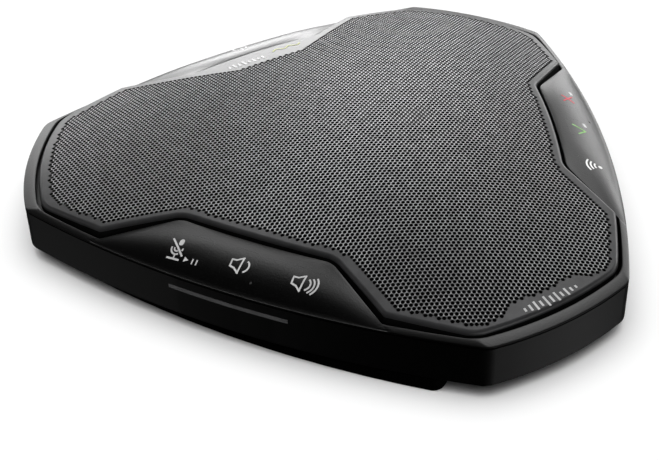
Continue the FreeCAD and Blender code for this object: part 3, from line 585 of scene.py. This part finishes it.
def make_bezel():
    rows = bezel_rows()
    skin = np.vstack(rows), loft(rows, True)
    bezel = make_piece("bezel_shell", *skin, bezel_plastic, sharp=40)
    # the foot rows of the skin and the lower rows of the lip take the base's dark plastic as painted
    # shade
    bezel.data.materials.append(base_plastic)
    for start in range(-BEZEL_SHADE_ROWS, LIP_SHADE_ROWS):
        for i in range(start * len(rows[0]), (start + 1) * len(rows[0])):
            bezel.data.polygons[i].material_index = 1
    holes = [key_prism(k, middle, half, KEY_SEAM, PARTING_Z - 1) for _, k, middle, half in KEYS]
    for k in range(SECTORS):
        hole = arc(MIC_HOLE_X, MIC_HOLE_Y, MIC_HOLE_R, 0, 2 * math.pi, 0.2)[:-1]
        holes.append(prism(turn(hole, SECTOR_TURN * k), PARTING_Z + 0.5, ABOVE_ALL))
    cut_with(bezel, holes, "DIFFERENCE")
    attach(bezel, "case")
    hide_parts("bezel")
    for name, k, middle, half in KEYS:
        cap = make_piece(name + "_cap", *skin, bezel_plastic, sharp=40)
        cut_with(cap, [key_prism(k, middle, half, 0.0, KEY_BOTTOM_Z)], "INTERSECT")
        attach(cap, name)
        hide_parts(name)


def make_mic_screens():
    """Fine grey mesh just inside each microphone hole."""
    ring = arc(MIC_HOLE_X, MIC_HOLE_Y, MIC_HOLE_R, 0, 2 * math.pi, 0.2)[:-1]
    for k, where in enumerate(("front", "right", "left")):
        points, faces = filled(ring)
        xy = turn(points, SECTOR_TURN * k)
        z = bezel_height(*xy.T) - MIC_SCREEN_DROP
        screen = make_piece("mic_screen_" + where, np.column_stack([xy, z]), faces, mic_grey)
        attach(screen, "case")


# ---- grille ----
def hole_centres(edge):
    """Hexagonal lattice points well inside the grille edge and clear of the printed zones."""
    a = np.array([math.cos(math.radians(30)), math.sin(math.radians(30))]) * HOLE_PITCH
    b = np.array([0, HOLE_PITCH])
    n = int(1.3 * BODY_RADIUS / HOLE_PITCH)
    i, j = np.meshgrid(np.arange(-n, n + 1), np.arange(-n, n + 1), indexing="ij")
    at = i.reshape(-1, 1) * a + j.reshape(-1, 1) * b
    at = at[np.hypot(*at.T) < radius_at(edge, np.arctan2(at[:, 1], at[:, 0]))]
    at = at[distance_to(edge, at) > HOLE_BORDER + HOLE_PITCH / math.sqrt(3)]
    return at[~(in_lobe_zone(at) | in_rear_zone(at))]


def in_lobe_zone(at):
    """Plain field for the printed mark at the end of the first lobe."""
    p = turn(at, -LOBE_AXIS)
    depth = BODY_RADIUS - np.hypot(*p.T)
    taper = np.clip(np.abs(p[:, 1]) - LOBE_ZONE_FLAT, 0, 9) * ZONE_SLOPE
    return (p[:, 0] > 0) & (np.abs(p[:, 1]) < LOBE_ZONE_HALF) & (depth < LOBE_ZONE_DEPTH - taper)


def in_rear_zone(at):
    """Plain field beside the rear-left panel."""
    p = turn(at, -2 * SECTOR_TURN)
    taper = np.clip(np.abs(p[:, 0]) - REAR_ZONE_FLAT, 0, 20) * ZONE_SLOPE
    beside = p[:, 1] < -REAR_ZONE_REACH - taper
    return beside & (np.abs(p[:, 0]) < REAR_ZONE_HALF) & (np.hypot(*at.T) < REAR_ZONE_RADIUS)


def make_grille():
    opening = tidy_loop(opening_loop(), 0.5)
    normal = inward(opening)
    edge = opening + normal * GRILLE_GAP
    at = hole_centres(edge + HOLE_FIELD_SHIFT)
    # rolled edge: rows from the foot of the skirt up and over to the sheet
    rows = []
    for drop in (GRILLE_SKIRT_SHOWN, GRILLE_ROLL):
        z = np.maximum(dome(*edge.T) - drop, DECK_TOP_Z + 0.1)
        rows.append(np.column_stack([edge, z]))
    for a in np.linspace(0, math.pi / 2, 8)[1:]:
        xy = edge + normal * GRILLE_ROLL * (1 - math.cos(a))
        rows.append(np.column_stack([xy, dome(*xy.T) - GRILLE_ROLL * (1 - math.sin(a))]))
    rim = make_piece("grille_edge", np.vstack(rows), loft(rows), grille_paint, sharp=50)
    # the skirt faces take the near-black material: painted shade under the rolled edge
    rim.data.materials.append(painted_shade_black)
    for face in rim.data.polygons[:len(edge)]:
        face.material_index = 1
    finish_grille(rim)
    sheet_edge = rows[-1][:, :2]
    corners, rings = shared_corners(at)
    border = cell_border(rings)
    make_border(sheet_edge, border, corners, at)
    sector = np.floor((np.degrees(np.arctan2(at[:, 1], at[:, 0])) + 90) / SECTOR_TURN) % SECTORS
    on_border = np.zeros(len(corners), bool)
    on_border[sorted({c for pair in border for c in pair})] = True
    for k, where in enumerate(("front", "rear", "left")):
        make_perforated("grille_" + where, at[sector == k], rings[sector == k], corners, on_border)


def shared_corners(at):
    """Hexagon corners of every cell, with the corners that neighbours share joined."""
    radius = HOLE_PITCH / math.sqrt(3)
    a = np.radians(np.arange(6) * 60)
    offsets = radius * np.stack([np.cos(a), np.sin(a)], 1)
    all_corners = (at[:, None, :] + offsets[None]).reshape(-1, 2)
    keys = np.round(all_corners / (radius * 0.25)).astype(int)
    _, first, inverse = np.unique(keys, axis=0, return_index=True, return_inverse=True)
    return all_corners[first], inverse.reshape(-1, 6)


def cell_border(rings):
    """Directed corner pairs along the outside of the perforated field."""
    border = {}
    for ring in rings:
        for s in range(6):
            a, b = int(ring[s]), int(ring[(s + 1) % 6])
            if (b, a) in border:
                del border[(b, a)]
            else:
                border[(a, b)] = True
    return list(border)


def make_border(sheet_edge, border, corners, at):
    """Plain band between the grille edge and the perforated field."""
    used = sorted({i for pair in border for i in pair})
    place = {c: n for n, c in enumerate(used)}
    n_field = len(used)
    points = [Vector(corners[c]) for c in used] + [Vector(p) for p in sheet_edge]
    edges = [(place[a], place[b]) for a, b in border]
    n_edge = len(sheet_edge)
    edges += [(n_field + i, n_field + (i + 1) % n_edge) for i in range(n_edge)]
    result = delaunay_2d_cdt(points, edges, [], 1, 1e-5)
    xy = np.array([tuple(v) for v in result[0]])
    faces = np.array([f for f in result[2] if len(f) == 3])
    middle = xy[faces].mean(1)
    nearest = nearest_centre(middle, at)
    outside = np.hypot(*middle.T) > radius_at(sheet_edge, np.arctan2(middle[:, 1], middle[:, 0])) + 0.01
    keep = ~outside & ~in_cells(middle, at, nearest)
    faces = faces[keep]
    u = xy[faces[:, 1]] - xy[faces[:, 0]]
    v = xy[faces[:, 2]] - xy[faces[:, 0]]
    flip = (u[:, 0] * v[:, 1] - u[:, 1] * v[:, 0]) < 0
    faces[flip] = faces[flip][:, ::-1]
    z = dome(*xy.T)
    piece = make_piece("grille_border", np.column_stack([xy, z]), faces.tolist(), grille_paint)
    finish_grille(piece)


def nearest_centre(points, at):
    """Index of the nearest hole centre to each point."""
    out = np.empty(len(points), int)
    for i in range(0, len(points), 500):
        d = ((points[i:i + 500, None, :] - at[None]) ** 2).sum(2)
        out[i:i + 500] = d.argmin(1)
    return out


def in_cells(points, at, nearest):
    """True for points inside the hexagon of their nearest cell."""
    d = points - at[nearest]
    inside = np.ones(len(points), bool)
    for degrees in (30, 90, 150):
        a = math.radians(degrees)
        inside &= np.abs(d[:, 0] * math.cos(a) + d[:, 1] * math.sin(a)) < HOLE_PITCH / 2 + 1e-3
    return inside


def ring_triangles():
    """Triangles between a hexagon (0-5) and a hole (6 on), zipped by angle."""
    outer = [(60.0 * i, i) for i in range(7)]
    inner = [(360.0 / HOLE_SIDES * i, i) for i in range(HOLE_SIDES + 1)]
    tris = []
    i = j = 0
    while i < 6 or j < HOLE_SIDES:
        step_outer = j == HOLE_SIDES or (i < 6 and outer[i + 1][0] <= inner[j + 1][0])
        o, h = i % 6, 6 + j % HOLE_SIDES
        if step_outer:
            tris.append((o, (i + 1) % 6, h))
            i += 1
        else:
            tris.append((o, 6 + (j + 1) % HOLE_SIDES, h))
            j += 1
    return tris


def make_perforated(name, at, rings, corners, on_border):
    """Sheet of hexagonal cells, each with a round hole and its wall."""
    used, local = np.unique(rings, return_inverse=True)
    local = local.reshape(rings.shape)
    xy = corners[used]
    top = np.column_stack([xy, dome(*xy.T)])
    a = np.radians(360.0 / HOLE_SIDES * np.arange(HOLE_SIDES))
    hole = at[:, None, :] + HOLE_R * np.stack([np.cos(a), np.sin(a)], 1)[None]
    flat = hole.reshape(-1, 2)
    upper = np.column_stack([flat, dome(*flat.T) - HOLE_ROLL])
    lower = upper.copy()
    lower[:, 2] -= SHEET_SHOWN
    n_top = len(top)
    n_hole = len(upper)
    first = n_top + np.arange(len(at)) * HOLE_SIDES
    faces = []
    looks = []
    # web tops take the brighter copy of the grille paint as a painted sheen (0); cells beside the border
    # take the plain paint (2)
    for tri in ring_triangles():
        cols = [local[:, v] if v < 6 else first + (v - 6) for v in tri]
        faces.append(np.stack(cols, 1))
        beside_border = np.zeros(len(at), bool)
        for v in tri:
            if v < 6:
                beside_border |= on_border[rings[:, v]]
        looks.append(np.where(beside_border, 2, 0))
    for s in range(HOLE_SIDES):
        u0 = first + s
        u1 = first + (s + 1) % HOLE_SIDES
        faces.append(np.stack([u0, u1, u1 + n_hole], 1))
        faces.append(np.stack([u0, u1 + n_hole, u0 + n_hole], 1))
    points = np.vstack([top, upper, lower])
    piece = make_piece(name, points, np.vstack(faces).tolist(), grille_web_painted_sheen, sharp=40)
    piece.data.materials.append(painted_shade_black)
    piece.data.materials.append(grille_paint)
    # every face not on top, that is the hole walls, takes the near-black material: painted shade inside
    # the holes
    look = np.ones(len(piece.data.polygons), np.int32)
    top_looks = np.concatenate(looks)
    look[:len(top_looks)] = top_looks
    piece.data.polygons.foreach_set("material_index", look)
    finish_grille(piece)


def finish_grille(piece):
    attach(piece, "case")
    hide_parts("speaker_grille")


# ---- printed symbols ----
def ribbon(path, width):
    """Flat strip along a path, with square ends."""
    p = np.asarray(path, float)
    d = np.gradient(p, axis=0)
    d /= np.hypot(*d.T)[:, None]
    n = np.stack([-d[:, 1], d[:, 0]], 1) * width / 2
    points = np.vstack([p + n, p - n])
    m = len(p)
    return points, [(i, m + i, m + i + 1, i + 1) for i in range(m - 1)]


def filled(ring):
    """Fan of quads from the middle of a convex ring, with one ring half way."""
    ring = np.asarray(ring, float)
    middle = ring.mean(0)
    half = (ring + middle) / 2
    n = len(ring)
    points = np.vstack([ring, half, [middle]])
    faces = [(i, (i + 1) % n, n + (i + 1) % n, n + i) for i in range(n)]
    faces += [(n + i, n + (i + 1) % n, 2 * n) for i in range(n)]
    return points, faces


def stroke(p, q, width):
    return ribbon(line(p, q, 0.25), width)


def outline_of(corners, width):
    shapes = []
    for i in range(len(corners)):
        p = np.array(corners[i], float)
        q = np.array(corners[(i + 1) % len(corners)], float)
        d = (q - p) / np.hypot(*(q - p)) * width * 0.45
        shapes.append(stroke(p - d, q + d, width))
    return shapes


def symbol(name, shapes, panel_index, body, material):
    """Printed symbol, drawn in the front panel's frame and laid on the crown of its panel."""
    points, faces = joined(shapes)
    flat = np.array(points)
    depth = SIDE_RADIUS - np.hypot(flat[:, 0], flat[:, 1] - SIDE_CENTRE_Y)
    xy = turn(flat, SECTOR_TURN * panel_index)
    z = panel_height(flat[:, 0], depth) + PRINT_LIFT
    piece = make_piece(name, np.column_stack([xy, z]), faces, material)
    face_up(piece)
    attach(piece, body)


def face_up(piece):
    mesh = piece.data
    bm = bmesh.new()
    bm.from_mesh(mesh)
    for face in bm.faces:
        face.normal_update()
        if face.normal.z < 0:
            face.normal_flip()
    bm.to_mesh(mesh)
    bm.free()


def speaker_outline(x, y):
    """Loudspeaker seen from the side."""
    corners = [(x - 1.93, y + 0.75), (x - 0.9, y + 0.85), (x + 0.38, y + 1.68), (x + 0.38, y - 1.68),
               (x - 0.7, y - 0.95), (x - 1.8, y - 0.7)]
    return outline_of(corners, 0.36)


def sound_arc(x, y, radius, degrees):
    lean = math.radians(degrees)
    return ribbon(arc(x, y, radius, -lean, lean, 0.15), 0.36)


def mute_shapes():
    """Microphone on its stand, struck through, with a small play mark and pause mark."""
    x, y = -14.2, -53.55
    capsule = np.vstack([
        arc(x + 0.2, y + 1.75, 0.52, 0, math.pi, 0.15),
        arc(x + 0.25, y + 1.25, 0.52, math.pi, 2 * math.pi, 0.15)])
    shapes = [filled(capsule)]
    for radius, a0, a1 in ((0.62, 175, 305), (1.28, 175, 305), (1.28, 345, 370)):
        shapes.append(ribbon(arc(x, y, radius, math.radians(a0), math.radians(a1), 0.15), 0.34))
    shapes.append(stroke((x + 0.12, y - 1.3), (x + 0.12, y - 2.1), 0.3))
    shapes.append(stroke((x - 1.45, y - 2.17), (x + 1.5, y - 2.17), 0.36))
    shapes.append(stroke((x - 2.1, y + 2.0), (x + 1.85, y - 1.37), 0.4))
    shapes.append(filled([(-11.62, -54.8), (-11.65, -55.8), (-10.55, -55.28)]))
    for bar_x in (-9.62, -8.64):
        shapes.append(stroke((bar_x, -54.8), (bar_x, -55.85), 0.3))
    return shapes


def make_symbols():
    symbol("mark_mute", mute_shapes(), 0, "key_mute", ink_pale)
    quiet = speaker_outline(0.4, -53.35) + [sound_arc(1.31, -53.38, 1.3, 68)]
    symbol("mark_volume_down", quiet, 0, "key_volume_down", ink_pale)
    loud = speaker_outline(14.45, -53.08)
    for arc_x, arc_y, radius, degrees in ((15.16, -53.12, 1.34, 63), (15.38, -53.08, 1.92, 55),
                                          (15.54, -52.92, 2.5, 48)):
        loud.append(sound_arc(arc_x, arc_y, radius, degrees))
    symbol("mark_volume_up", loud, 0, "key_volume_up", ink_pale)
    thick = 0.42
    cross = [stroke((14.6, -51.0), (11.6, -53.7), thick), stroke((14.6, -53.7), (11.6, -51.0), thick)]
    symbol("mark_end_call", cross, 1, "key_end_call", ink_red)
    symbol("mark_end_call_dot", [stroke((15.8, -53.9), (17.2, -53.6), 0.7)], 1, "key_end_call", ink_white)
    tick = [stroke((0.46, -50.9), (-1.7, -53.85), thick), stroke((-1.5, -53.85), (-3.5, -51.7), thick)]
    symbol("mark_answer", tick, 1, "key_answer", ink_green)
    symbol("mark_answer_dot", [stroke((0.6, -54.3), (2.1, -53.9), 0.7)], 1, "key_answer", ink_white)
    waves = [filled(arc(-16.1, -54.2, 0.5, 0, 2 * math.pi, 0.2)[:-1])]
    for radius in (1.35, 2.25, 3.15):
        waves.append(ribbon(arc(-16.1, -54.2, radius, math.radians(52), math.radians(128), 0.2), thick))
    symbol("mark_wireless", waves, 1, "key_wireless", ink_white)
    power = [ribbon(arc(0.3, -53.0, 1.7, math.radians(125), math.radians(415), 0.2), 0.45)]
    power.append(stroke((0.3, -50.7), (0.3, -52.9), 0.45))
    symbol("mark_power", power, 2, "key_power", ink_white)


def dome_print(name, shapes, material):
    points, faces = joined(shapes)
    xy = np.array(points)
    piece = make_piece(name, np.column_stack([xy, dome(*xy.T) + PRINT_LIFT]), faces, material)
    face_up(piece)
    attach(piece, "case")


LOBE_BAR_HEIGHTS = (0.9, 1.5, 2.2, 1.4, 2.6, 1.7, 2.3, 1.2, 1.9, 1.0, 0.7)
LOBE_BAR_PITCH = 1.3
LOBE_BAR_START = -6.5       # along the lobe's end from its axis
LOBE_BAR_INSET = 5.2
LOBE_BAR_WIDTH = 0.5
REAR_BAR_HEIGHTS = (1.2, 2.2, 1.6, 2.6, 1.4, 2.0, 1.0, 1.6)
REAR_BAR_PITCH = 1.35
REAR_BAR_START = 10.0
REAR_BAR_REACH = 40.4
REAR_BAR_WIDTH = 0.55
REAR_WAVE_REACH = 42.2
REAR_WAVE_SPAN = (-3.0, -11.5)
REAR_WAVE_HEIGHT = 0.5
REAR_WAVE_RATE = 1.7        # radians per millimetre
REAR_WAVE_WIDTH = 0.35


def make_prints():
    """Plain sound-wave marks in the two unperforated fields of the grille."""
    bars = []
    centre_r = BODY_RADIUS - LOBE_BAR_INSET
    for i, height in enumerate(LOBE_BAR_HEIGHTS):
        a = math.radians(LOBE_AXIS) + (LOBE_BAR_START + LOBE_BAR_PITCH * i) / centre_r
        d = np.array([math.cos(a), math.sin(a)])
        bars.append(stroke(d * (centre_r - height / 2), d * (centre_r + height / 2), LOBE_BAR_WIDTH))
    dome_print("mark_lobe", bars, ink_pale)
    rear = []
    for i, height in enumerate(REAR_BAR_HEIGHTS):
        x = REAR_BAR_START - REAR_BAR_PITCH * i
        y = -REAR_BAR_REACH
        points, faces = stroke((x, y - height / 2), (x, y + height / 2), REAR_BAR_WIDTH)
        rear.append((turn(points, 2 * SECTOR_TURN), faces))
    dome_print("mark_rear", rear, ink_white)
    x = np.linspace(*REAR_WAVE_SPAN, 50)
    wave = np.stack([x, -REAR_WAVE_REACH + REAR_WAVE_HEIGHT * np.sin(x * REAR_WAVE_RATE)], 1)
    points, faces = ribbon(wave, REAR_WAVE_WIDTH)
    dome_print("mark_rear_line", [(turn(points, 2 * SECTOR_TURN), faces)], ink_lime)


# ---- studio ----
CAMERA_TARGET = (9.99, -8.48, -4.6)
CAMERA_AZIMUTH = 25.87
CAMERA_ELEVATION = 36.21
CAMERA_DISTANCE = 316.15
CAMERA_ROLL = -0.43
CAMERA_LENS = 73.94
CAMERA_SHIFT = (-0.0731, 0.0178)


def make_camera():
    a, e = math.radians(CAMERA_AZIMUTH), math.radians(CAMERA_ELEVATION)
    back = Vector((math.sin(a) * math.cos(e), -math.cos(a) * math.cos(e), math.sin(e)))
    right = Vector((math.cos(a), math.sin(a), 0))
    up = back.cross(right)
    r = math.radians(CAMERA_ROLL)
    right_r = math.cos(r) * right + math.sin(r) * up
    up_r = math.cos(r) * up - math.sin(r) * right
    place = (Vector(CAMERA_TARGET) + back * CAMERA_DISTANCE) * MM
    data = bpy.data.cameras.new("camera")
    data.sensor_width = 36
    data.lens = CAMERA_LENS
    data.shift_x, data.shift_y = CAMERA_SHIFT
    data.clip_start = 0.01
    cam = bpy.data.objects.new("camera", data)
    rows = Matrix((right_r, up_r, back)).transposed().to_4x4()
    cam.matrix_world = Matrix.Translation(place) @ rows
    bpy.context.scene.collection.objects.link(cam)
    bpy.context.scene.camera = cam


def softbox(name, azimuth, elevation, width, height, radiance):
    """A soft panel of light round the object. It only shows as reflections; the sky lights the rest."""
    a, e = math.radians(azimuth), math.radians(elevation)
    place = Vector((math.sin(a) * math.cos(e), math.cos(a) * math.cos(e), math.sin(e)))
    data = bpy.data.lights.new(name, "AREA")
    data.shape = "RECTANGLE"
    data.size = width
    data.size_y = height
    data.energy = radiance * math.pi * width * height
    light = bpy.data.objects.new(name, data)
    light.location = place
    light.rotation_euler = (-place).to_track_quat("-Z", "Y").to_euler()
    light.visible_diffuse = False
    bpy.context.scene.collection.objects.link(light)


FLOOR_HALF = 3.0
SKY_OVERHEAD = 4.2          # the sky is brightest straight above and falls off to the horizon
SKY_POWER = 5.0
BACK_STEP = 15.0            # width and height of each light in the wall behind the object, in degrees
# Azimuth of each column of the wall, and its radiance from the lowest row up. These numbers are a rounded
# least-squares fit to the photograph's brightness, made by a separate program.
BACK_WALL = (
    (-65, (3.4, 0.7, 0.4, 0.2, 0.8)),
    (-50, (2.8, 4.9, 0.1, 3.6, 0.5)),
    (-35, (9.0, 0.7, 0.4, 0.5, 0)),
    (-20, (1.9, 0.1, 0.3, 0.4, 0)),
    (-5, (4.5, 0.7, 1.2, 3.1, 0.5)),
    (10, (3.6, 1.5, 1.0, 2.3, 2.1)),
    (25, (6.5, 0.4, 0.2, 0.2, 0.4)),
)
SIDE_WIDTH = 0.8
SIDE_HEIGHT = 0.4
# azimuth, elevation and radiance; the two below the floor stand for its glow on the base's walls
SIDE_LIGHTS = ((60, 12, 0.9), (-105, 12, 0.5), (115, 12, 2.0), (86, -35, 1.3), (-126, -35, 0.4))


def make_floor():
    s = FLOOR_HALF
    mesh = bpy.data.meshes.new("floor")
    mesh.from_pydata([(-s, -s, 0), (s, -s, 0), (s, s, 0), (-s, s, 0)], [], [(0, 1, 2, 3)])
    floor = bpy.data.objects.new("floor", mesh)
    bpy.context.scene.collection.objects.link(floor)
    paper = new_material("floor_paper", (0.9, 0.9, 0.9), 0.9, 0.0, 0.1)
    add_grain(paper, 900, 0.05)
    mesh.materials.append(paper)
    floor.visible_glossy = False


def make_sky():
    """Diffuse light only: brightest straight above, falling off as a power of the height."""
    world = bpy.data.worlds.new("studio")
    world.use_nodes = True
    tree = world.node_tree
    sky = tree.nodes["Background"]
    sky.inputs["Color"].default_value = (1, 1, 1, 1)
    coords = tree.nodes.new("ShaderNodeTexCoord")
    split = tree.nodes.new("ShaderNodeSeparateXYZ")
    rise = tree.nodes.new("ShaderNodeMath")
    rise.operation = "POWER"
    rise.use_clamp = True
    rise.inputs[1].default_value = SKY_POWER
    level = tree.nodes.new("ShaderNodeMath")
    level.operation = "MULTIPLY"
    level.inputs[1].default_value = SKY_OVERHEAD
    tree.links.new(coords.outputs["Generated"], split.inputs["Vector"])
    tree.links.new(split.outputs["Z"], rise.inputs[0])
    tree.links.new(rise.outputs["Value"], level.inputs[0])
    tree.links.new(level.outputs["Value"], sky.inputs["Strength"])
    world.cycles_visibility.glossy = False
    bpy.context.scene.world = world


def make_lights():
    size = math.radians(BACK_STEP)
    for azimuth, column in BACK_WALL:
        for row, radiance in enumerate(column):
            if radiance > 0:
                softbox("back", azimuth, BACK_STEP * (row + 0.5), size, size, radiance)
    for azimuth, elevation, radiance in SIDE_LIGHTS:
        softbox("side", azimuth, elevation, SIDE_WIDTH, SIDE_HEIGHT, radiance)
    bpy.context.scene.view_settings.view_transform = "Standard"


dress_nodes()
make_bezel()
make_mic_screens()
make_grille()
make_symbols()
make_prints()
make_camera()
make_floor()
make_sky()
make_lights()
